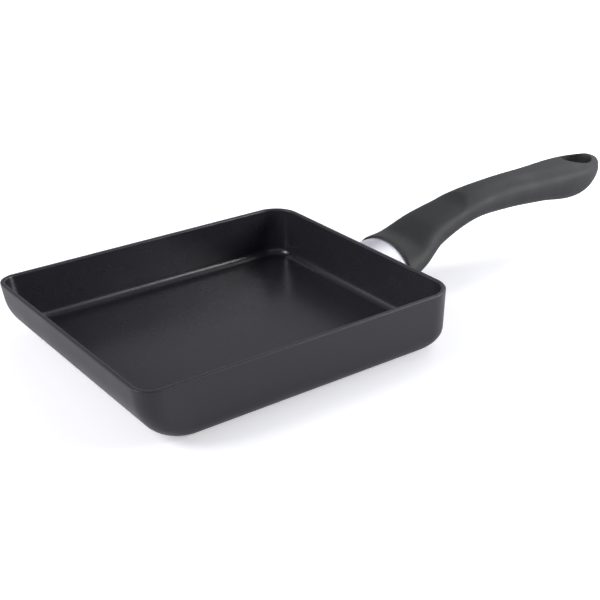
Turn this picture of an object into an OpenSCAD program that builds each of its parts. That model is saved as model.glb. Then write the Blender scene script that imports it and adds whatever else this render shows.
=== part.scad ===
// Rectangular rolled-omelette pan with one long moulded handle.
// The origin is on the table under the middle of the rim, +X runs towards the handle and +Z is up.

/* [Pan] */
// Length of the rim, along the handle
pan_l = 180; // [170:1:200]
// Width of the rim
pan_w = 150; // [140:1:170]
// Height of the rim above the table
pan_h = 32; // [30:0.5:36]
// Thickness of the walls
wall_t = 2.5; // [2:0.1:3]
// Thickness of the floor
floor_t = 4; // [3:0.1:5]
// Lean of the front wall, from upright
front_lean = 9; // [6:1:14]
// Lean of the two side walls, from upright
side_lean = 1; // [0.5:0.5:3]
// Lean of the wall that carries the handle, from upright
rear_lean = 1; // [0.5:0.5:3]
// Radius of the rim's two corners beside the handle
rear_corner = 15; // [12:0.5:20]
// Radius of the rim's two front corners
front_corner = 10; // [7:0.5:14]
// Radius under the side walls and the handle wall
heel_r = 11; // [8:0.5:12]
// Radius under the front wall
toe_r = 28; // [24:0.5:29]
// Radius inside, between the walls and the floor
inner_r = 4.5; // [4:0.5:7]

/* [Base] */
// Length of the steel plate pressed into the underside
plate_l = 118; // [90:1:122]
// Width of that plate
plate_w = 104; // [80:1:108]
// Thickness of that plate
plate_t = 0.8; // [0.5:0.1:1.2]

/* [Handle] */
// Gap between the pan and the handle's mouth
mouth_gap = 16; // [15:0.5:17]
// Length of the handle
grip_l = 172.5; // [166:0.5:184]
// Height of the mouth's widest line
mouth_z = 15; // [14.5:0.5:15.5]
// Width of the mouth
mouth_w = 46; // [45:0.5:49]
// Height of the grip's middle above the table
grip_z = 39; // [37:0.5:41]
// Width of the grip at its narrowest
waist_w = 24; // [22:0.5:27]
// Width of the grip near its tip
rear_w = 30; // [29:0.5:32]
// Depth of the thumb rest
thumb_d = 1.9; // [0.5:0.1:2.2]
// Radius of the hanging hole
hang_r = 9; // [6:0.5:9.5]

/* [Fasteners] */
// Radius of a screw or stud
screw_r = 2.45; // [2.4:0.01:2.48]
// Distance between the two studs
stud_gap = 21; // [21:0.5:22]
// Width across the flats of a nut
nut_af = 8; // [7:0.5:8]
// Thickness of a nut
nut_t = 3.5; // [2.5:0.5:3.5]

/* [Hidden] */
$fn = 48;

// Depth by which a form runs into its neighbour, and by which a cutter runs past a face
sunk = 2;
past = 1;

// Pan: steps round a corner, up the small roundings and up the rest of the front wall's large one, the
// break of the rim's edge, and the front wall's rounding inside
corner_steps = 8;
level_steps = 9;
toe_steps = 4;
rim_round = 0.6;
inner_toe_r = toe_r - floor_t;

// Underside plate: its place and its corners
plate_x = 9;
plate_corner = 14;
plate_slack = 0.1;

// Raised pad on the handle wall, the bracket's plate on it, and the studs, nuts and washers that hold it
pad_x = pan_l / 2 + 0.6;
pad_w = 31;
pad_bottom = mouth_z - 6;
pad_top = mouth_z + 7;
pad_corner = 6;
bracket_t = 2.5;
stud_z = (pad_bottom + pad_top) / 2;
stud_l = 9.6;
stud_hole_r = 2.75;
nut_bore_r = 2.5;
washer_r = 4.7;
washer_bore_r = 2.7;
washer_t = 1;

// Tongue of the bracket: it starts in the plate and rises with the neck
tongue_x = pan_l / 2 + 2;
tongue_z = mouth_z - 4.5;
tongue_tilt = 24;
tongue_l = 62;
tongue_w = 10;
tongue_t = 3;
tongue_slack = 0.2;
screw_at = 46;

// Handle screw, measured from the tongue's middle plane
seat_d = 4.5;
head_r = 4.4;
head_h = 2.8;
socket_r = 1.75;
socket_d = 1.6;
sink_r = 5.4;
sink_l = 20;

// Ferrule: its outline at the pan and in the mouth, as widest height, half width, depth above and depth below
ferrule_t = 1;
ferrule_in = 3;
ferrule_slack = 0.3;
ferrule_start = pan_l / 2 - 6;
mouth_x = pan_l / 2 + mouth_gap;
ferrule_end = mouth_x + ferrule_in;
ferrule_pan = [mouth_z, 20, 13.8, 8.5];
ferrule_mouth = [mouth_z, 21.7, 14.6, 8];

// Handle sections: share of the length, share of the rise, half width, the depths above and below, and the
// power of the section's curve, which is 2 for an oval and more for a squarer form
rise = grip_z - mouth_z;
tip_x = mouth_x + grip_l;
sections = [
    [0, 0, mouth_w / 2, 15.7, 10, 2],
    [0.08, 0.25, mouth_w * 0.445, 10.4, 8.6, 2.2],
    [0.17, 0.62, mouth_w * 0.337, 9.2, 10, 2.2],
    [0.337, 0.935, waist_w * 0.54, 8.1, 8.6, 2.2],
    [0.504, 1, waist_w / 2, 9, 9.4, 2.3],
    [0.671, 0.965, rear_w * 0.45, 9.7, 9.9, 2.5],
    [0.839, 0.96, rear_w / 2, 9.4, 11.7, 3],
    [1, 1.07, rear_w * 0.38, 6.6, 4.3, 2.7]
];
neck_l = 29.5;
slope_step = 0.004;
tip_plan_r = 24;
tip_top_r = 6.4;
tip_under_r = 24;
ring_points = 40;
long_steps = 30;
tip_steps = 10;
tip_last_a = 84;

// Thumb rest: half width, start, where its rear end begins to round, how far that end runs, and the
// length over which it deepens
thumb_w = 12.5;
thumb_start = mouth_x + 7;
thumb_round_x = mouth_x + 45.5;
thumb_round_l = 12;
thumb_fade = 34;

// Hanging hole: its place, and the width, depth and rounding of its flared mouths
hang_x = tip_x - 18;
hang_flare = 2;
hang_flare_d = 2.2;
hang_round_r = 4;

// Inset of a wall at height z, where it leans from upright and rolls into the floor with radius r
function wall_inset(z, h, r, lean) =
    z >= r * (1 - sin(lean)) ? (h - z) * tan(lean)
    : (h - r) * tan(lean) + r / cos(lean) - sqrt(max(0, r * r - (r - z) * (r - z)));

// One level of the pan: a rectangle with round corners
function tray_level(z, front, rear, side, front_r, rear_r) =
    let (x0 = front - pan_l / 2, x1 = pan_l / 2 - rear, y1 = pan_w / 2 - side)
    [for (c = [
        [x1 - rear_r, y1 - rear_r, 0, rear_r],
        [x0 + front_r, y1 - front_r, 90, front_r],
        [x0 + front_r, front_r - y1, 180, front_r],
        [x1 - rear_r, rear_r - y1, 270, rear_r]
    ]) for (k = [0:corner_steps])
        let (a = c[2] + 90 * k / corner_steps)
        [c[0] + c[3] * cos(a), c[1] + c[3] * sin(a), z]];

// Levels of the outside and of the inside: inset draws the metal back from both faces at the rim. Inside,
// the corners beside the handle get tighter as the wall rolls into the floor
function outer_level(z, inset = 0) = tray_level(z,
    wall_inset(z, pan_h, toe_r, front_lean) + inset,
    wall_inset(z, pan_h, heel_r, rear_lean) + inset,
    wall_inset(z, pan_h, heel_r, side_lean) + inset,
    front_corner - inset, rear_corner - inset);

function inner_level(z, inset = 0) =
    let (d = z - floor_t, h = pan_h - floor_t, roll = wall_inset(d, h, inner_r, rear_lean))
    tray_level(z,
        wall_t / cos(front_lean) + wall_inset(d, h, inner_toe_r, front_lean) - inset,
        wall_t / cos(rear_lean) + roll - inset,
        wall_t / cos(side_lean) + wall_inset(d, h, inner_r, side_lean) - inset,
        front_corner - wall_t + inset, rear_corner - wall_t - roll + inset);

// Heights of the levels: up the small rounding of the other walls, then up the rest of the front wall's
function roll_heights(r, toe) =
    let (low = acos(1 - r / toe), turn = 90 - front_lean - low)
    concat(
        [for (k = [0:level_steps]) r * (1 - cos(90 * k / level_steps))],
        [for (k = [1:toe_steps]) toe * (1 - cos(low + turn * k / toe_steps))]);

// Faces of a solid made of rings with the same number of points, closed at both ends
function ring_faces(n, rings) = concat(
    [[for (k = [0:n - 1]) k]],
    [[for (k = [n - 1:-1:0]) (rings - 1) * n + k]],
    [for (r = [0:rings - 2], k = [0:n - 1])
        let (a = r * n + k, b = r * n + (k + 1) % n)
        [a, a + n, b]],
    [for (r = [0:rings - 2], k = [0:n - 1])
        let (a = r * n + k, b = r * n + (k + 1) % n)
        [b, a + n, b + n]]
);

function flat_list(rings) = [for (ring = rings) each ring];

module ring_solid(rings) {
    polyhedron(points = flat_list(rings), faces = ring_faces(len(rings[0]), len(rings)), convexity = 6);
}

// Rectangle with round corners, drawn round the origin
module round_rect(l, w, r) {
    square([l - 2 * r, w], center = true);
    square([l, w - 2 * r], center = true);
    for (x = [-1, 1], y = [-1, 1])
        translate([x * (l / 2 - r), y * (w / 2 - r)]) circle(r);
}

// The rings run up the outside and down the inside
function outer_rings() = concat(
    [for (z = roll_heights(heel_r, toe_r)) outer_level(z)],
    [outer_level(pan_h - rim_round)],
    [outer_level(pan_h, rim_round)]);

function inner_rings() =
    let (up = roll_heights(inner_r, inner_toe_r))
    concat(
        [inner_level(pan_h, rim_round)],
        [inner_level(pan_h - rim_round)],
        [for (k = [len(up) - 1:-1:0]) inner_level(floor_t + up[k])]);

// Pad with round corners on the handle wall, from x0 to x1
module pad_shape(x0, x1) {
    translate([x0, 0, stud_z]) rotate([90, 0, 90])
        linear_extrude(x1 - x0) round_rect(pad_w, pad_top - pad_bottom, pad_corner);
}

// Underside plate, with its edge moved out by grow
module plate_shape(grow, h) {
    translate([plate_x, 0, 0])
        linear_extrude(h) round_rect(plate_l + 2 * grow, plate_w + 2 * grow, plate_corner + grow);
}

module pan_body() {
    color("dimgray") difference() {
        union() {
            ring_solid(concat(outer_rings(), inner_rings()));
            pad_shape(pan_l / 2 - sunk, pad_x);
        }
        translate([0, 0, -plate_t]) plate_shape(plate_slack, 2 * plate_t);
    }
}

module base_plate() {
    color("silver") plate_shape(0, plate_t);
}

// Places a form on the axis of each stud, from x on
module at_studs(x) {
    for (side = [-1, 1])
        translate([x, side * stud_gap / 2, stud_z]) rotate([0, 90, 0]) children();
}

module weld_studs() {
    color("lightgray") at_studs(pad_x) cylinder(r = screw_r, h = stud_l);
}

// Local frame of the tongue: X runs along it and Z is square to it
module on_tongue() {
    translate([tongue_x, 0, tongue_z]) rotate([0, -tongue_tilt, 0]) children();
}

module handle_bracket() {
    color("gray") difference() {
        union() {
            pad_shape(pad_x, pad_x + bracket_t);
            difference() {
                on_tongue() translate([-sunk, -tongue_w / 2, -tongue_t / 2])
                    cube([tongue_l + sunk, tongue_w, tongue_t]);
                translate([0, -tongue_w, -tongue_w]) cube([pad_x, 2 * tongue_w, 4 * tongue_w]);
            }
        }
        at_studs(pad_x - past) cylinder(r = stud_hole_r, h = bracket_t + 2 * past);
        on_tongue() translate([screw_at, 0, -tongue_t]) cylinder(r = stud_hole_r, h = 2 * tongue_t);
    }
}

module washer() {
    difference() {
        cylinder(r = washer_r, h = washer_t);
        translate([0, 0, -past]) cylinder(r = washer_bore_r, h = washer_t + 2 * past);
    }
}

module bracket_washers() {
    color("gainsboro") at_studs(pad_x + bracket_t) washer();
}

module nut() {
    difference() {
        cylinder(d = nut_af / cos(30), h = nut_t, $fn = 6);
        translate([0, 0, -past]) cylinder(r = nut_bore_r, h = nut_t + 2 * past);
    }
}

module bracket_nuts() {
    color("gainsboro") at_studs(pad_x + bracket_t + washer_t) nut();
}

// Oval at x, from its widest height, half width and the half depths above and below that
function oval(x, size, grow) =
    [for (k = [0:ring_points - 1])
        let (a = 360 * k / ring_points, s = sin(a))
        [x, (size[1] + grow) * cos(a), size[0] + (s > 0 ? size[2] + grow : size[3] + grow) * s]];

// Outline of the ferrule at x
function ferrule_size(x) =
    let (f = (x - ferrule_start) / (ferrule_end - ferrule_start))
    ferrule_pan + f * (ferrule_mouth - ferrule_pan);

// Solid that fills the ferrule from x0 to x1
module ferrule_core(x0, x1, grow) {
    ring_solid([oval(x0, ferrule_size(x0), grow), oval(x1, ferrule_size(x1), grow)]);
}

module ferrule() {
    color("ghostwhite") difference() {
        ferrule_core(ferrule_start, ferrule_end, 0);
        ferrule_core(ferrule_start - past, ferrule_end + past, -ferrule_t);
        ring_solid(outer_rings());
    }
}

// Smooth curve through column c of the handle's sections
function slope_at(i, c) =
    let (a = max(i - 1, 0), b = min(i + 1, len(sections) - 1))
    (sections[b][c] - sections[a][c]) / (sections[b][0] - sections[a][0]);

function between(u, i, c) =
    let (w = sections[i + 1][0] - sections[i][0], t = (u - sections[i][0]) / w)
    (2 * t ^ 3 - 3 * t ^ 2 + 1) * sections[i][c] + (t ^ 3 - 2 * t ^ 2 + t) * w * slope_at(i, c)
    + (3 * t ^ 2 - 2 * t ^ 3) * sections[i + 1][c] + (t ^ 3 - t ^ 2) * w * slope_at(i + 1, c);

function piece_of(u, i = 0) = i >= len(sections) - 2 || u <= sections[i + 1][0] ? i : piece_of(u, i + 1);

function curve(u, c) = between(u, piece_of(u), c);

// Rises evenly from 0 to 1, level at both ends
function smooth(t) = let (s = min(1, max(0, t))) s * s * (3 - 2 * s);

// Round end: 0 at the tip and 1 once the distance d to it reaches r
function round_end(d, r) = sqrt(max(0, 1 - (1 - min(1, d / r)) ^ 2));

function middle_z(u) = mouth_z + rise * curve(u, 1);

// Slope of the grip's middle line, taken over a short stretch of it
function neck_angle(u) =
    let (a = max(0, u - slope_step), b = min(1, u + slope_step))
    atan2(middle_z(b) - middle_z(a), (b - a) * grip_l);

// Depth of the thumb rest at a place on the top of the neck: it deepens slowly and ends in a crisp curve
function thumb_depth(x, y) =
    let (over = max(0, x - thumb_round_x) / thumb_round_l, r2 = (y / thumb_w) ^ 2 + over ^ 2)
    r2 >= 1 ? 0 : thumb_d * (1 - r2) * smooth((x - thumb_start) / thumb_fade);

// Point of a section: it is upright at the mouth and square to the neck further on
function grip_point(u, a) =
    let (
        x = mouth_x + u * grip_l,
        d = tip_x - x,
        n = min(1, (x - mouth_x) / neck_l),
        power = curve(u, 5),
        half_w = curve(u, 2) * round_end(d, tip_plan_r),
        up = curve(u, 3) * round_end(d, tip_top_r),
        down = curve(u, 4) * round_end(d, tip_under_r),
        y = half_w * sign(cos(a)) * abs(cos(a)) ^ (2 / power),
        v = sin(a) < 0 ? -down * abs(sin(a)) ^ (2 / power)
            : up * sin(a) ^ (2 / power) - thumb_depth(x, y) * smooth(2 * sin(a)),
        tilt = neck_angle(u) * n
    )
    [x - v * sin(tilt), y, middle_z(u) + v * (n * cos(tilt) + 1 - n)];

function grip_ring(u) = [for (k = [0:ring_points - 1]) grip_point(u, 360 * k / ring_points)];

// Places of the rings: evenly along the handle, then closer and closer round the tip
tip_share = tip_plan_r / grip_l;
ring_places = concat(
    [for (k = [0:long_steps - 1]) (1 - tip_share) * k / long_steps],
    [for (k = [0:tip_steps - 1]) 1 - tip_share * (1 - sin(tip_last_a * k / (tip_steps - 1)))]);

module handle_grip() {
    color("darkslategray") difference() {
        ring_solid([for (u = ring_places) grip_ring(u)]);
        ferrule_core(mouth_x - past, ferrule_end, ferrule_slack);
        on_tongue() {
            translate([0, -tongue_w / 2 - tongue_slack, -tongue_t / 2 - tongue_slack])
                cube([tongue_l + tongue_slack, tongue_w + 2 * tongue_slack, tongue_t + 2 * tongue_slack]);
            translate([0, -nut_af / 2 - 2 * tongue_slack, 0])
                cube([screw_at + nut_af / 2 + 4 * tongue_slack, nut_af + 4 * tongue_slack,
                    tongue_t / 2 + nut_t + 2 * tongue_slack]);
            translate([screw_at, 0, -seat_d - past]) cylinder(r = stud_hole_r, h = seat_d + past);
            translate([screw_at, 0, -seat_d - sink_l]) cylinder(r = sink_r, h = sink_l);
        }
        translate([hang_x, 0, 0]) cylinder(r = hang_r, h = 2 * grip_z);
        hang_mouth(1);
        hang_mouth(-1);
    }
}

// Flared mouth of the hanging hole, above (1) or below (-1) the grip's middle
module hang_mouth(way) {
    u = (hang_x - mouth_x) / grip_l;
    start = middle_z(u) + way * (curve(u, way > 0 ? 3 : 4) - hang_flare_d);
    translate([hang_x, 0, start]) rotate([way > 0 ? 0 : 180, 0, 0]) rotate_extrude() difference() {
        square([hang_r + hang_flare, hang_round_r]);
        translate([hang_r + hang_round_r, 0]) circle(hang_round_r);
    }
}

module tongue_nut() {
    color("gainsboro") on_tongue() translate([screw_at, 0, tongue_t / 2]) nut();
}

module handle_screw() {
    color("silver") on_tongue() translate([screw_at, 0, 0]) difference() {
        union() {
            translate([0, 0, -seat_d - washer_t - sunk])
                cylinder(r = screw_r, h = sunk + seat_d + washer_t + tongue_t / 2 + nut_t);
            translate([0, 0, -seat_d - washer_t - head_h]) cylinder(r = head_r, h = head_h);
        }
        translate([0, 0, -seat_d - washer_t - head_h - past])
            cylinder(r = socket_r, h = socket_d + past, $fn = 6);
    }
}

module screw_washer() {
    color("gainsboro") on_tongue() translate([screw_at, 0, -seat_d - washer_t]) washer();
}

pan_body();
base_plate();
weld_studs();
handle_bracket();
bracket_washers();
bracket_nuts();
ferrule();
handle_grip();
tongue_nut();
handle_screw();
screw_washer();
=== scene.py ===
from math import acos, atan2, cos, pi, radians, sin, sqrt, tan

import bmesh
import bpy
from mathutils import Matrix, Vector


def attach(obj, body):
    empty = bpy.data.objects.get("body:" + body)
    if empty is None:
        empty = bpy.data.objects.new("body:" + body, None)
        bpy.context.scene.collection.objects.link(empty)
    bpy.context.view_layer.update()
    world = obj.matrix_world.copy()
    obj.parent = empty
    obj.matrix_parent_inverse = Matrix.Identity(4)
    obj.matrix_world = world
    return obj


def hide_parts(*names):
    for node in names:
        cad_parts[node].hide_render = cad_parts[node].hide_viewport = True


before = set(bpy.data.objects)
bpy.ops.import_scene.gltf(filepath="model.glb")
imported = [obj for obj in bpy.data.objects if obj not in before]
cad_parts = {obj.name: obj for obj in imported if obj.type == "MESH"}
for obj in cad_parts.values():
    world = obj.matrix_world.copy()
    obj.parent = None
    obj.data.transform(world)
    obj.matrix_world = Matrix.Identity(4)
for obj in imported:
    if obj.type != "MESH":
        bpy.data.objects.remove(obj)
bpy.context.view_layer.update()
scene = bpy.context.scene
mm = 0.001  # every size below is in millimetres, apart from the studio's and the camera's
print("frame loaded with", len(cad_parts), "nodes")


def linear(hexColour):  # sRGB hex to linear RGBA
    parts = [int(hexColour[i:i + 2], 16) / 255 for i in (1, 3, 5)]
    return [p / 12.92 if p <= 0.04045 else ((p + 0.055) / 1.055) ** 2.4 for p in parts] + [1.0]


def addNode(tree, kind, settings={}, links={}):  # one shader node, its settings and what feeds it
    node = tree.nodes.new("ShaderNode" + kind)
    for name, value in settings.items():
        if isinstance(name, int) or name in node.inputs:
            node.inputs[name].default_value = value
        else:
            setattr(node, name, value)
    for name, source in links.items():
        tree.links.new(source, node.inputs[name])
    return node


def newMaterial(name):
    material = bpy.data.materials.new(name)
    material.use_nodes = True
    material.node_tree.nodes.clear()
    return material, material.node_tree


def meshPiece(name, bm, materials, replaced=()):  # a smooth-shaded piece on the pan's one body
    mesh = bpy.data.meshes.new(name)
    for face in bm.faces:
        face.smooth = True
    bm.to_mesh(mesh)
    bm.free()
    piece = bpy.data.objects.new(name, mesh)
    scene.collection.objects.link(piece)
    for material in materials:
        mesh.materials.append(material)
    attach(piece, "root")
    if replaced:
        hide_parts(*replaced)
    return piece


def bakeModifiers(piece):  # the modifiers' result becomes the mesh
    mesh = bpy.data.meshes.new_from_object(piece.evaluated_get(bpy.context.evaluated_depsgraph_get()))
    piece.modifiers.clear()
    piece.data = mesh


def circle(r, z, count, cx=0, cy=0):
    turns = [2 * pi * k / count for k in range(count)]
    return [(cx + r * cos(a), cy + r * sin(a), z) for a in turns]


def stackRings(bm, rings, slots=None, closeStart=True, closeEnd=True):  # quads between rings of equal count
    rows = [[bm.verts.new(Vector(point) * mm) for point in ring] for ring in rings]
    count = len(rows[0])
    for i in range(len(rows) - 1):
        for k in range(count):
            n = (k + 1) % count
            face = bm.faces.new((rows[i][k], rows[i + 1][k], rows[i + 1][n], rows[i][n]))
            face.material_index = slots[i] if slots else 0
    if closeStart:
        bm.faces.new(rows[0]).material_index = slots[0] if slots else 0
    if closeEnd:
        bm.faces.new(rows[-1][::-1]).material_index = slots[-1] if slots else 0
    return rows


noiseSpan = (0.3, 0.7)  # most of a noise's values lie between these


def finishMaterial(tree, look, tone, haze, relief, settings):  # what every finish here ends with
    colour = addNode(tree, "Mix", {"data_type": "RGBA", 6: linear(look["dark"]), 7: linear(look["pale"])},
                     {0: tone})
    rough = addNode(tree, "MapRange", {"From Min": noiseSpan[0], "From Max": noiseSpan[1],
                                       "To Min": look["roughness"][0], "To Max": look["roughness"][1]},
                    {"Value": haze})
    bump = addNode(tree, "Bump", {"Strength": 1.0, "Distance": look["depth"] * mm}, {"Height": relief})
    shader = addNode(tree, "BsdfPrincipled", settings,
                     {"Base Color": colour.outputs[2], "Roughness": rough.outputs["Result"],
                      "Normal": bump.outputs["Normal"]})
    addNode(tree, "OutputMaterial", {}, {"Surface": shader.outputs["BSDF"]})


# Silicone polyester, sprayed on the outside and baked: a satin charcoal with a fine orange peel.
# The specks of its pigment are drawn coarser than the real ones, so that they show.
outerCoatLook = {"dark": "#27262b", "pale": "#2c2b30", "roughness": (0.38, 0.45), "ior": 1.38,
                 "peel": 1.1, "depth": 0.006, "cloud": 30, "speck": 0.5}
# PTFE in its binder, sprayed inside in two coats and baked: deeper in tone and smoother, so that it mirrors
# the walls softly. The IOR is the binder's, since bare PTFE would reflect too little.
innerCoatLook = {"dark": "#1e1e23", "pale": "#242429", "roughness": (0.24, 0.30), "ior": 1.58,
                 "peel": 0.9, "depth": 0.004, "cloud": 24, "speck": 0.5}


def sprayedCoat(name, look):
    material, tree = newMaterial(name)
    where = addNode(tree, "TexCoord").outputs["Object"]
    cloud = addNode(tree, "TexNoise", {"Scale": 1 / (look["cloud"] * mm), "Detail": 3.0}, {"Vector": where})
    peel = addNode(tree, "TexNoise", {"Scale": 1 / (look["peel"] * mm), "Detail": 2.0, "Roughness": 0.6},
                   {"Vector": where})
    speck = addNode(tree, "TexNoise", {"Scale": 1 / (look["speck"] * mm), "Detail": 1.0}, {"Vector": where})
    tone = addNode(tree, "MapRange", {"From Min": noiseSpan[0], "From Max": noiseSpan[1]},
                   {"Value": speck.outputs["Fac"]})
    finishMaterial(tree, look, tone.outputs["Result"], cloud.outputs["Fac"], peel.outputs["Fac"],
                   {"IOR": look["ior"]})
    return material


outerCoat = sprayedCoat("siliconePolyesterSprayed", outerCoatLook)
innerCoat = sprayedCoat("ptfeCoatSprayed", innerCoatLook)

# Phenolic resin with wood flour, compression moulded in a spark-eroded mould: matt and faintly grained.
# The mould's grain and the flour's dust are drawn coarser than the real ones, so that they show.
phenolicLook = {"dark": "#202121", "pale": "#262727", "roughness": (0.58, 0.66), "ior": 1.45,
                "grain": 0.8, "depth": 0.02, "flow": 14, "dust": 0.6, "dustSpan": (0.35, 0.65)}


def mouldedResin(name, look):
    material, tree = newMaterial(name)
    where = addNode(tree, "TexCoord").outputs["Object"]
    flow = addNode(tree, "TexNoise", {"Scale": 1 / (look["flow"] * mm), "Detail": 4.0, "Distortion": 0.6},
                   {"Vector": where})
    grain = addNode(tree, "TexVoronoi", {"feature": "SMOOTH_F1", "Scale": 1 / (look["grain"] * mm)},
                    {"Vector": where})
    dust = addNode(tree, "TexNoise", {"Scale": 1 / (look["dust"] * mm), "Detail": 1.0}, {"Vector": where})
    tone = addNode(tree, "MapRange", {"From Min": look["dustSpan"][0], "From Max": look["dustSpan"][1]},
                   {"Value": dust.outputs["Fac"]})
    finishMaterial(tree, look, tone.outputs["Result"], flow.outputs["Fac"], grain.outputs["Distance"],
                   {"IOR": look["ior"]})
    return material


phenolic = mouldedResin("phenolicResinMoulded", phenolicLook)

# Metals. A belt or a die leaves lines along the axis whose stretch is below 1. They are drawn wider than
# the real ones, so that they show.
buffedLook = {"dark": "#d6d5db", "pale": "#e8e7ec", "roughness": (0.46, 0.54),
              "streak": 0.6, "stretch": (0.15, 1, 1), "depth": 0.002, "haze": 9}
groundSteelLook = {"dark": "#a9aaad", "pale": "#cfd0d2", "roughness": (0.30, 0.38),
                   "streak": 0.5, "stretch": (0.04, 1, 1), "depth": 0.004, "haze": 9}
groundAluminiumLook = {"dark": "#bfc1c4", "pale": "#dcdee0", "roughness": (0.34, 0.42),
                       "streak": 0.5, "stretch": (0.04, 1, 1), "depth": 0.004, "haze": 9}
zincLook = {"dark": "#9fa3a8", "pale": "#c3c7cb", "roughness": (0.32, 0.45),
            "streak": 1.2, "stretch": (1, 1, 1), "depth": 0.003, "haze": 9}


def workedMetal(name, look):
    material, tree = newMaterial(name)
    where = addNode(tree, "TexCoord").outputs["Object"]
    drawn = addNode(tree, "Mapping", {"Scale": look["stretch"]}, {"Vector": where})
    lines = addNode(tree, "TexNoise", {"Scale": 1 / (look["streak"] * mm), "Detail": 3.0, "Roughness": 0.6},
                    {"Vector": drawn.outputs["Vector"]})
    haze = addNode(tree, "TexNoise", {"Scale": 1 / (look["haze"] * mm), "Detail": 2.0}, {"Vector": where})
    finishMaterial(tree, look, lines.outputs["Fac"], haze.outputs["Fac"], lines.outputs["Fac"],
                   {"Metallic": 1.0})
    return material


# Stainless steel, drawn and then buffed: bright, cool and satin, with faint lines along the draw
ferruleSteel = workedMetal("stainlessSteelBuffed", buffedLook)
# Stainless steel sheet, ground on a belt after it is pressed in: straight scratches along the pan
plateSteel = workedMetal("stainlessSteelGround", groundSteelLook)
# Aluminium, bare where the belt has cut through the coat: paler than the steel, with the same scratches
bareAluminium = workedMetal("aluminiumGround", groundAluminiumLook)
# Mild steel, pressed and zinc plated: a bluish grey bloom, without a direction
zincSteel = workedMetal("steelZincPlated", zincLook)
print("materials made")

# The pan: one drawn and machined aluminium body, with the numbers of the CAD source. The holds place extra
# rings and points just off each round, so that flat and round shade apart.
pan = {"length": 180, "width": 150, "height": 32, "wall": 2.5, "floor": 4,
       "frontLean": 9, "sideLean": 1, "rearLean": 1, "rearCorner": 15, "frontCorner": 10,
       "heelRadius": 11, "toeRadius": 28, "innerRadius": 4.5, "innerToeRadius": 24,
       "rimRadius": 0.75, "rimSteps": 4, "cornerSteps": 16, "rollSteps": 14, "wallLevel": 26,
       "cornerHold": 2, "rimHold": 1, "flatHold": 0.985, "recessHold": 0.97,
       "recess": (118.2, 104.2, 14.1, 0.8), "recessAt": 9, "recessEdge": 0.1,
       "pad": (31, 13, 6), "padAt": (88, 90.6, 15.5), "padSteps": 6,
       "padEdge": ((0.4, 0), (0.1, 0.12), (0, 0.4))}  # behind the pad's face, and in from its side


def wallInset(z, height, radius, lean):  # how far in from the rim a leaning wall stands at this level
    a = radians(lean)
    if z >= radius * (1 - sin(a)):
        return (height - z) * tan(a)
    return (height - radius) * tan(a) + radius / cos(a) - sqrt(max(0, radius ** 2 - (radius - z) ** 2))


def cornerRing(x0, x1, y1, frontR, rearR, z, steps):  # a rounded rectangle, with a point just off each arc
    ring, off = [], pan["cornerHold"]
    for cx, cy, start, r in ((x1 - rearR, y1 - rearR, 0, rearR), (x0 + frontR, y1 - frontR, 90, frontR),
                             (x0 + frontR, frontR - y1, 180, frontR), (x1 - rearR, rearR - y1, 270, rearR)):
        a, b = radians(start), radians(start + 90)
        ring.append((cx + r * cos(a) + off * sin(a), cy + r * sin(a) - off * cos(a), z))
        for k in range(steps + 1):
            t = radians(start + 90 * k / steps)
            ring.append((cx + r * cos(t), cy + r * sin(t), z))
        ring.append((cx + r * cos(b) - off * sin(b), cy + r * sin(b) + off * cos(b), z))
    return ring


def panLevel(z, inset=0, inside=False):  # the pan's outline at this level, outside or inside
    p = pan
    frontR, rearR, h, d, thick = p["frontCorner"], p["rearCorner"], p["height"], z, 0
    rolls = (p["toeRadius"], p["heelRadius"], p["heelRadius"])
    if inside:
        h, d, thick, inset = h - p["floor"], z - p["floor"], p["wall"], -inset
        rolls = (p["innerToeRadius"], p["innerRadius"], p["innerRadius"])
        frontR = frontR - p["wall"]
        rearR = rearR - p["wall"] - wallInset(d, h, p["innerRadius"], p["rearLean"])
    leans = (p["frontLean"], p["rearLean"], p["sideLean"])
    front, rear, side = [thick / cos(radians(lean)) + wallInset(d, h, roll, lean) + inset
                         for roll, lean in zip(rolls, leans)]
    return cornerRing(front - p["length"] / 2, p["length"] / 2 - rear, p["width"] / 2 - side,
                      frontR - inset, rearR - inset, z, p["cornerSteps"])


def shrunkRing(ring, share, z):  # a ring drawn in towards its own middle
    cx = sum(v[0] for v in ring) / len(ring)
    cy = sum(v[1] for v in ring) / len(ring)
    return [(cx + (x - cx) * share, cy + (y - cy) * share, z) for x, y, _ in ring]


def rollHeights(small, large):  # levels up the small roundings, then up the rest of the front wall's
    steps = pan["rollSteps"]
    low = acos(1 - small / large)
    turn = radians(90 - pan["frontLean"]) - low
    return ([small * (1 - cos(pi / 2 * k / steps)) for k in range(steps + 1)]
            + [large * (1 - cos(low + turn * k / steps)) for k in range(1, steps + 1)])


def padRings():  # the raised pad on the handle wall, which carries the bracket
    width, height, corner = pan["pad"]
    x0, x1, z = pan["padAt"]
    rings = []
    for x, inset in [(x0, 0)] + [(x1 - back, inset) for back, inset in pan["padEdge"]]:
        flat = cornerRing(inset - width / 2, width / 2 - inset, height / 2 - inset, corner - inset,
                          corner - inset, 0, pan["padSteps"])
        rings.append([(x, u, z + v) for u, v, _ in flat])
    return rings


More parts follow.
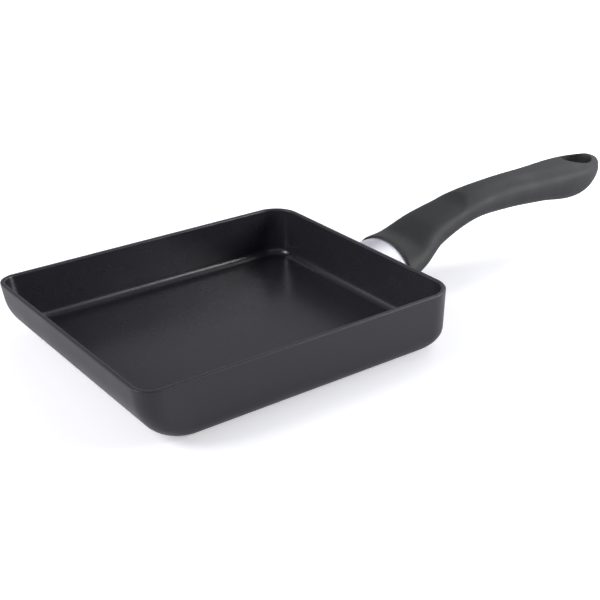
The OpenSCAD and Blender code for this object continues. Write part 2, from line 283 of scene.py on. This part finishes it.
def buildPan():
    p = pan
    top, r = p["height"], p["rimRadius"]
    length, width, corner, depth = p["recess"]
    x = p["recessAt"]
    recess = [cornerRing(x - length / 2, x + length / 2, width / 2, corner, corner, z, p["cornerSteps"])
              for z in (depth, p["recessEdge"], 0)]
    wallLevels = [p["wallLevel"], top - r - p["rimHold"], top - r]
    outside = [panLevel(z) for z in rollHeights(p["heelRadius"], p["toeRadius"]) + wallLevels]
    turns = [radians(90 * k / p["rimSteps"]) for k in range(1, p["rimSteps"] + 1)]
    rim = [(top - r + r * sin(t), r * (1 - cos(t))) for t in turns]
    rimOut = [panLevel(z, inset) for z, inset in rim]
    rimIn = [panLevel(z, inset, True) for z, inset in rim[::-1]]
    inside = [panLevel(z, 0, True) for z in wallLevels[::-1]
              + [p["floor"] + z for z in rollHeights(p["innerRadius"], p["innerToeRadius"])[::-1]]]
    outer = ([shrunkRing(recess[0], p["recessHold"], depth)] + recess
             + [shrunkRing(outside[0], p["flatHold"], 0)] + outside + rimOut + rimIn)
    inner = inside + [shrunkRing(inside[-1], p["flatHold"], p["floor"])]
    bm = bmesh.new()
    # the inner coat starts where the rim's round ends
    stackRings(bm, outer + inner, [0] * (len(outer) - 1) + [1] * (len(inner) + 1))
    stackRings(bm, padRings())
    bmesh.ops.recalc_face_normals(bm, faces=bm.faces)
    meshPiece("panShell", bm, [outerCoat, innerCoat], ["pan_body"])


buildPan()
print("pan body built")

# Underside: a steel sheet with punched holes, pressed into the aluminium, which fills the holes
plate = {"size": (118, 104, 14, 0.8), "at": 9, "lift": 0.02, "cornerSteps": 12,
         "pitch": 8.0, "hole": 2.0, "margin": 5.5, "sides": 16,
         "plug": ((0.02, 0.9), (0.02, 0.12), (0.12, 0.03))}  # in from the hole's wall, and the level


def holeCentres():  # rows half a pitch apart in turn, clear of the plate's edge
    length, width, corner, _ = plate["size"]
    rowStep = plate["pitch"] * sqrt(3) / 2
    rows = int(width / rowStep) // 2
    columns = int(length / plate["pitch"]) // 2 + 1
    centres = []
    for j in range(-rows, rows + 1):
        y = j * rowStep
        shift = plate["pitch"] / 2 if j % 2 else 0
        for i in range(-columns, columns + 1):
            x = i * plate["pitch"] + shift
            ax, ay = abs(x) + plate["margin"], abs(y) + plate["margin"]
            dx, dy = max(0, ax - length / 2 + corner), max(0, ay - width / 2 + corner)
            if ax <= length / 2 and ay <= width / 2 and dx ** 2 + dy ** 2 <= corner ** 2:
                centres.append((x + plate["at"], y))
    return centres


def buildPlate():
    length, width, corner, thick = plate["size"]
    at, low, steps = plate["at"], plate["lift"], plate["cornerSteps"]
    outline = cornerRing(at - length / 2, at + length / 2, width / 2, corner, corner, low, steps)
    holes = [circle(plate["hole"], low, plate["sides"], cx, cy) for cx, cy in holeCentres()]
    bm = bmesh.new()
    edges = []
    for loop in [outline] + holes:
        verts = [bm.verts.new((x * mm, y * mm, z * mm)) for x, y, z in loop]
        edges += [bm.edges.new((verts[k], verts[(k + 1) % len(verts)])) for k in range(len(verts))]
    bmesh.ops.triangle_fill(bm, edges=edges, use_beauty=True, normal=(0, 0, -1))
    grown = bmesh.ops.extrude_face_region(bm, geom=bm.faces[:])["geom"]
    upper = [v for v in grown if isinstance(v, bmesh.types.BMVert)]
    bmesh.ops.translate(bm, vec=(0, 0, thick * mm), verts=upper)
    bmesh.ops.recalc_face_normals(bm, faces=bm.faces)
    piece = meshPiece("basePlate", bm, [plateSteel], ["base_plate"])
    for face in piece.data.polygons:  # punched edges are sharp
        face.use_smooth = False


def buildPlugs():
    bm = bmesh.new()
    for cx, cy in holeCentres():
        stackRings(bm, [circle(plate["hole"] - gap, z, plate["sides"], cx, cy) for gap, z in plate["plug"]])
    bmesh.ops.recalc_face_normals(bm, faces=bm.faces)
    meshPiece("basePlugs", bm, [bareAluminium])


buildPlate()
buildPlugs()
print("underside built")

# Ferrule: a drawn sleeve from the pan's wall into the mouth of the handle. Each oval is its middle's level,
# half width, rise above and drop below.
ferrule = {"from": 84, "to": 109, "thick": 1.0, "edge": 0.35, "points": 96, "steps": 14,
           "foot": 89, "outerFrom": 90.5, "innerFrom": 92,
           "atPan": (15, 20, 13.8, 8.5), "atMouth": (15, 21.7, 14.6, 8)}


def ferruleOval(x, grow, count=ferrule["points"]):
    f = (x - ferrule["from"]) / (ferrule["to"] - ferrule["from"])
    z, half, up, down = [a + f * (b - a) for a, b in zip(ferrule["atPan"], ferrule["atMouth"])]
    turns = [2 * pi * k / count for k in range(count)]
    return [(x, (half + grow) * cos(a), z + ((up if sin(a) > 0 else down) + grow) * sin(a)) for a in turns]


def onWall(ring, off):  # moves a ring's points along X to the pan's outer wall
    end, wall = pan["length"] / 2, (pan["height"], pan["heelRadius"], pan["rearLean"])
    return [(end - wallInset(max(0, z), *wall) + off, y, z) for _, y, z in ring]


def buildFerrule():
    f = ferrule
    e, t, foot, start, end = f["edge"], f["thick"], f["foot"], f["outerFrom"], f["to"]
    outer = [onWall(ferruleOval(foot, -e), 0), onWall(ferruleOval(foot, 0), e)]
    outer += [ferruleOval(start + (end - start - e) * k / f["steps"], 0) for k in range(1, f["steps"] + 1)]
    outer += [ferruleOval(end, -e), ferruleOval(end, e - t)]
    inner = [ferruleOval(end - e, -t), ferruleOval(f["innerFrom"], -t), onWall(ferruleOval(foot, -t), 0)]
    bm = bmesh.new()
    rows = stackRings(bm, outer + inner, closeStart=False, closeEnd=False)
    for k in range(f["points"]):  # the last ring meets the first on the wall
        n = (k + 1) % f["points"]
        bm.faces.new((rows[-1][k], rows[0][k], rows[0][n], rows[-1][n]))
    bmesh.ops.recalc_face_normals(bm, faces=bm.faces)
    meshPiece("ferruleSleeve", bm, [ferruleSteel], ["ferrule"])


buildFerrule()
print("ferrule built")

# Handle: sections as share of the length, share of the rise, half width, depth above, depth below and power
handle = {"mouthX": 106, "length": 172.5, "mouthZ": 15, "rise": 24,
          "sections": ((0, 0, 23, 15.7, 10, 2), (0.08, 0.25, 20.47, 10.4, 8.6, 2.2),
                       (0.17, 0.62, 15.502, 9.2, 10, 2.2), (0.337, 0.935, 12.96, 8.1, 8.6, 2.2),
                       (0.504, 1, 12, 9, 9.4, 2.3), (0.671, 0.965, 13.5, 9.7, 9.9, 2.5),
                       (0.839, 0.96, 15, 9.4, 11.7, 3), (1, 1.07, 11.4, 6.6, 4.3, 2.7)),
          "neck": 29.5, "angleStep": 0.004, "tipPlan": 24, "tipTop": 6.4, "tipUnder": 24, "tipTurn": 89.3,
          "points": 112, "longSteps": 110, "tipSteps": 22,
          "thumbHalf": 12.5, "thumbStart": 113, "thumbRoundX": 151.5, "thumbRound": 12, "thumbFade": 34,
          "thumbDepth": 1.9, "edge": 0.35, "edgeBend": 0.3, "slack": 0.3, "socketHold": 1,
          "flash": 0.1, "flashSpan": (0.02, 0.97),
          "holeX": 260.5, "holeR": 9, "flareR": 4, "flareDepth": 2.2, "flareTurn": 60, "flareSteps": 10,
          "holeSides": 72, "holeOver": 6,
          "tongue": (92, 10.5, 24), "screwAt": 46, "seat": 4.5, "sinkR": 5.4, "sinkLength": 20,
          "sinkEdge": 0.3, "sinkSides": 48, "screwBore": 2.75}


def sectionValue(u, c):  # smooth curve through one column of the sections
    s = handle["sections"]
    i = max(0, min(len(s) - 2, sum(1 for row in s[1:] if u > row[0])))

    def slope(j):
        a, b = max(j - 1, 0), min(j + 1, len(s) - 1)
        return (s[b][c] - s[a][c]) / (s[b][0] - s[a][0])
    w = s[i + 1][0] - s[i][0]
    t = (u - s[i][0]) / w
    return ((2 * t ** 3 - 3 * t ** 2 + 1) * s[i][c] + (t ** 3 - 2 * t ** 2 + t) * w * slope(i)
            + (3 * t ** 2 - 2 * t ** 3) * s[i + 1][c] + (t ** 3 - t ** 2) * w * slope(i + 1))


def smoothStep(t):
    t = min(1, max(0, t))
    return t * t * (3 - 2 * t)


def roundEnd(d, r):  # share of the full size at d before an end that is rounded over r
    return sqrt(max(0, 1 - (1 - min(1, d / r)) ** 2))


def middleZ(u):
    return handle["mouthZ"] + handle["rise"] * sectionValue(u, 1)


def neckAngle(u):
    step = handle["angleStep"]
    a, b = max(0, u - step), min(1, u + step)
    return atan2(middleZ(b) - middleZ(a), (b - a) * handle["length"])


def thumbDepth(x, y):
    h = handle
    over = max(0, x - h["thumbRoundX"]) / h["thumbRound"]
    r2 = (y / h["thumbHalf"]) ** 2 + over ** 2
    if r2 >= 1:
        return 0
    return h["thumbDepth"] * (1 - r2) * smoothStep((x - h["thumbStart"]) / h["thumbFade"])


def gripPoint(u, a, grow=0, shift=0):  # a point of the handle's outside, at share u along it and angle a
    h = handle
    x = h["mouthX"] + u * h["length"]
    d = h["mouthX"] + h["length"] - x
    n = min(1, (x - h["mouthX"]) / h["neck"])
    power = sectionValue(u, 5)
    half = sectionValue(u, 2) * roundEnd(d, h["tipPlan"]) + grow
    up = sectionValue(u, 3) * roundEnd(d, h["tipTop"]) + grow
    down = sectionValue(u, 4) * roundEnd(d, h["tipUnder"]) + grow
    c, s = cos(a), sin(a)
    y = half * (1 if c > 0 else -1) * abs(c) ** (2 / power)
    v = (up if s > 0 else -down) * abs(s) ** (2 / power)
    if s > 0:  # the thumb rest fades out down the sides
        v -= thumbDepth(x, y) * smoothStep(2 * s)
    flashFrom, flashTo = h["flashSpan"]
    if abs(s) < 1e-6 and flashFrom < u < flashTo:  # the flash line, where the mould's halves meet
        y += h["flash"] * (1 if c > 0 else -1)
    tilt = neckAngle(u) * n
    return (x + shift - v * sin(tilt), y, middleZ(u) + v * (n * cos(tilt) + 1 - n))


def gripRing(u, grow=0, shift=0):
    return [gripPoint(u, 2 * pi * k / handle["points"], grow, shift) for k in range(handle["points"])]


def mouthOval(x, grow):  # the socket that takes the ferrule
    return ferruleOval(x, grow, handle["points"])


def lathe(name, profile, sides):  # a closed solid of revolution about Z, for cutting
    bm = bmesh.new()
    stackRings(bm, [circle(r, z, sides) for r, z in profile])
    bmesh.ops.recalc_face_normals(bm, faces=bm.faces)
    mesh = bpy.data.meshes.new(name)
    bm.to_mesh(mesh)
    bm.free()
    cutter = bpy.data.objects.new(name, mesh)
    scene.collection.objects.link(cutter)
    return cutter


def holeCutter():  # the hanging hole, with a flared mouth above and below
    h = handle
    u = (h["holeX"] - h["mouthX"]) / h["length"]
    high = middleZ(u) + sectionValue(u, 3) - h["flareDepth"]
    low = middleZ(u) - sectionValue(u, 4) + h["flareDepth"]
    turns = [radians(h["flareTurn"] * k / h["flareSteps"]) for k in range(h["flareSteps"] + 1)]
    flare = [(h["holeR"] + h["flareR"] * (1 - cos(t)), h["flareR"] * sin(t)) for t in turns]
    profile = [(r, low - z) for r, z in flare[::-1]] + [(r, high + z) for r, z in flare]
    wide = flare[-1][0]
    profile = [(wide, profile[0][1] - h["holeOver"])] + profile + [(wide, profile[-1][1] + h["holeOver"])]
    cutter = lathe("holeCutter", profile, h["holeSides"])
    cutter.location = (h["holeX"] * mm, 0, 0)
    return cutter


def sinkCutter():  # the sunk hole for the screw, square to the tongue, and the screw's bore
    h = handle
    x, z, tilt = h["tongue"]
    r, seat, e, bore = h["sinkR"], h["seat"], h["sinkEdge"], h["screwBore"]
    profile = [(r, -seat - h["sinkLength"]), (r, -seat - e), (r - e, -seat), (bore, -seat), (bore, 0)]
    cutter = lathe("sinkCutter", profile, h["sinkSides"])
    along = Vector((cos(radians(tilt)), 0, sin(radians(tilt))))
    place = Vector((x, 0, z)) + along * h["screwAt"]
    cutter.matrix_world = Matrix.Translation(place * mm) @ Matrix.Rotation(-radians(tilt), 4, "Y")
    return cutter


def buildHandle():
    h = handle
    e, loose = h["edge"], h["slack"]
    bend = h["edgeBend"] * e
    tip = h["tipPlan"] / h["length"]
    turns = [radians(h["tipTurn"] * k / (h["tipSteps"] - 1)) for k in range(h["tipSteps"])]
    places = [(1 - tip) * k / h["longSteps"] for k in range(1, h["longSteps"])]
    places += [1 - tip * (1 - sin(t)) for t in turns]
    back, front = ferrule["to"], h["mouthX"]
    rings = [mouthOval(back, -h["socketHold"]), mouthOval(back, loose), mouthOval(front + e, loose),
             mouthOval(front + bend, loose + bend), mouthOval(front, loose + e),
             gripRing(0, -e, 0), gripRing(0, -bend, bend), gripRing(0, 0, e)]
    rings += [gripRing(u) for u in places]
    bm = bmesh.new()
    stackRings(bm, rings)
    bmesh.ops.recalc_face_normals(bm, faces=bm.faces)
    piece = meshPiece("handleMoulding", bm, [phenolic], ["handle_grip"])
    cutters = [holeCutter(), sinkCutter()]
    bpy.context.view_layer.update()
    for cutter in cutters:
        cut = piece.modifiers.new(cutter.name, "BOOLEAN")
        cut.object, cut.operation, cut.solver = cutter, "DIFFERENCE", "EXACT"
    bakeModifiers(piece)
    for cutter in cutters:
        bpy.data.objects.remove(cutter)
    for face in piece.data.polygons:
        face.use_smooth = True


buildHandle()
print("handle built")

# The fastenings stay the CAD's own, under plated steel and bare aluminium
fastenings = {"weld_studs": bareAluminium, "handle_bracket": zincSteel, "bracket_washers": zincSteel,
              "bracket_nuts": zincSteel, "tongue_nut": zincSteel, "handle_screw": zincSteel,
              "screw_washer": zincSteel}
for name, material in fastenings.items():
    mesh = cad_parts[name].data
    mesh.materials.clear()
    mesh.materials.append(material)
print("fastenings dressed")

# Studio: a white paper sweep, a softbox high beyond the handle, one at each side, and a bright, even room.
# Sizes are in metres and powers in watts. Each box is its place, aim, width, height and power. The lifts
# are the white that the sweep adds for the camera and for glossy rays. On top of these, painted light makes
# the paper grow whiter to the camera between two distances out from the pan, which paints out the shadows
# there, the handle's among them.
studio = {"floorSize": 12.0, "floorDrop": 0.00005, "floorColour": "#e4e4e9", "glossyLift": 0.16,
          "seenLift": 0.37, "paintedLightFar": 0.5, "paintedLightFrom": 0.15, "paintedLightTo": 0.45,
          "roomColour": "#f3f4ff", "roomHorizon": 1.0, "roomTop": 0.22, "roomFall": 2.5,
          "boxes": (("overheadBox", (0.98, 0.15, 0.76), (0.20, 0.0, 0.0), 0.8, 0.8, 5.6),
                    ("leftBox", (-0.76, 0.30, 0.60), (0.0, 0.0, 0.02), 0.5, 0.5, 8.8),
                    ("rightBox", (0.77, -0.63, 0.38), (0.06, 0.0, 0.02), 0.5, 0.4, 8.4))}


def buildFloor():
    s = studio
    material, tree = newMaterial("paperSweepWhite")  # uncoated white paper: flat, and it keeps the shadow near the pan; farther out, painted light whitens it
    path = addNode(tree, "LightPath")
    where = addNode(tree, "TexCoord").outputs["Object"]
    paper = addNode(tree, "BsdfDiffuse", {"Color": linear(s["floorColour"])})
    # painted light: beyond a set distance from the pan the paper turns whiter to the camera, which fades
    # the handle's shadow
    away = addNode(tree, "VectorMath", {"operation": "LENGTH"}, {0: where})
    white = addNode(tree, "MapRange", {"From Min": s["paintedLightFrom"], "From Max": s["paintedLightTo"],
                                       "To Min": s["seenLift"], "To Max": s["seenLift"] + s["paintedLightFar"]},
                    {"Value": away.outputs["Value"]})
    seen = addNode(tree, "Math", {"operation": "MULTIPLY"},
                   {0: path.outputs["Is Camera Ray"], 1: white.outputs["Result"]})
    lift = addNode(tree, "Math", {"operation": "MULTIPLY_ADD", 1: s["glossyLift"]},
                   {0: path.outputs["Is Glossy Ray"], 2: seen.outputs[0]})
    glow = addNode(tree, "Emission", {"Color": (1, 1, 1, 1)}, {"Strength": lift.outputs[0]})
    both = addNode(tree, "AddShader", {}, {0: paper.outputs[0], 1: glow.outputs[0]})
    addNode(tree, "OutputMaterial", {}, {"Surface": both.outputs[0]})
    half = s["floorSize"] / 2
    corners = [(-half, -half, 0), (half, -half, 0), (half, half, 0), (-half, half, 0)]
    mesh = bpy.data.meshes.new("floor")
    mesh.from_pydata(corners, [], [(0, 1, 2, 3)])
    floor = bpy.data.objects.new("floor", mesh)
    floor.location = (0, 0, -s["floorDrop"])
    scene.collection.objects.link(floor)
    mesh.materials.append(material)


def buildRoom():  # brightest at the horizon and darker overhead, and plain white to the camera
    world = bpy.data.worlds.new("whiteRoom")
    scene.world = world
    world.use_nodes = True
    tree = world.node_tree
    tree.nodes.clear()
    path = addNode(tree, "LightPath")
    where = addNode(tree, "TexCoord").outputs["Generated"]
    height = addNode(tree, "SeparateXYZ", {}, {0: where})
    low = addNode(tree, "Math", {"operation": "SUBTRACT", 0: 1.0, "use_clamp": True},
                  {1: height.outputs["Z"]})
    share = addNode(tree, "Math", {"operation": "POWER", 1: studio["roomFall"]}, {0: low.outputs[0]})
    level = addNode(tree, "MapRange", {"To Min": studio["roomTop"], "To Max": studio["roomHorizon"]},
                    {"Value": share.outputs[0]})
    white = addNode(tree, "Mix", {"data_type": "FLOAT", 3: 1.0},
                    {0: path.outputs["Is Camera Ray"], 2: level.outputs["Result"]})
    tint = addNode(tree, "Mix", {"data_type": "RGBA", 6: linear(studio["roomColour"]), 7: (1, 1, 1, 1)},
                   {0: path.outputs["Is Camera Ray"]})
    back = addNode(tree, "Background", {}, {"Color": tint.outputs[2], "Strength": white.outputs[0]})
    addNode(tree, "OutputWorld", {}, {"Surface": back.outputs[0]})


def aimFrom(thing, at, aim):  # puts a lamp or the camera in its place, turned to its aim
    thing.location = at
    thing.rotation_euler = (Vector(aim) - Vector(at)).to_track_quat("-Z", "Y").to_euler()


def buildLights():
    for name, at, aim, width, height, watts in studio["boxes"]:
        light = bpy.data.lights.new(name, "AREA")
        light.shape, light.size, light.size_y, light.energy = "RECTANGLE", width, height, watts
        lamp = bpy.data.objects.new(name, light)
        scene.collection.objects.link(lamp)
        aimFrom(lamp, at, aim)


buildFloor()
buildRoom()
buildLights()

# Camera: where the photograph was taken from, in metres, with its lens and sensor in millimetres
shot = {"at": (-0.28561, -0.44658, 0.27026), "aim": (0.059959, 0.01646, 0.0), "lens": 69.44, "sensor": 36,
        "nearest": 0.01}
lens = bpy.data.cameras.new("camera")
lens.lens, lens.sensor_width, lens.clip_start = shot["lens"], shot["sensor"], shot["nearest"]
camera = bpy.data.objects.new("camera", lens)
scene.collection.objects.link(camera)
aimFrom(camera, shot["at"], shot["aim"])
scene.camera = camera
scene.view_settings.view_transform = "Standard"
print("studio and camera set")
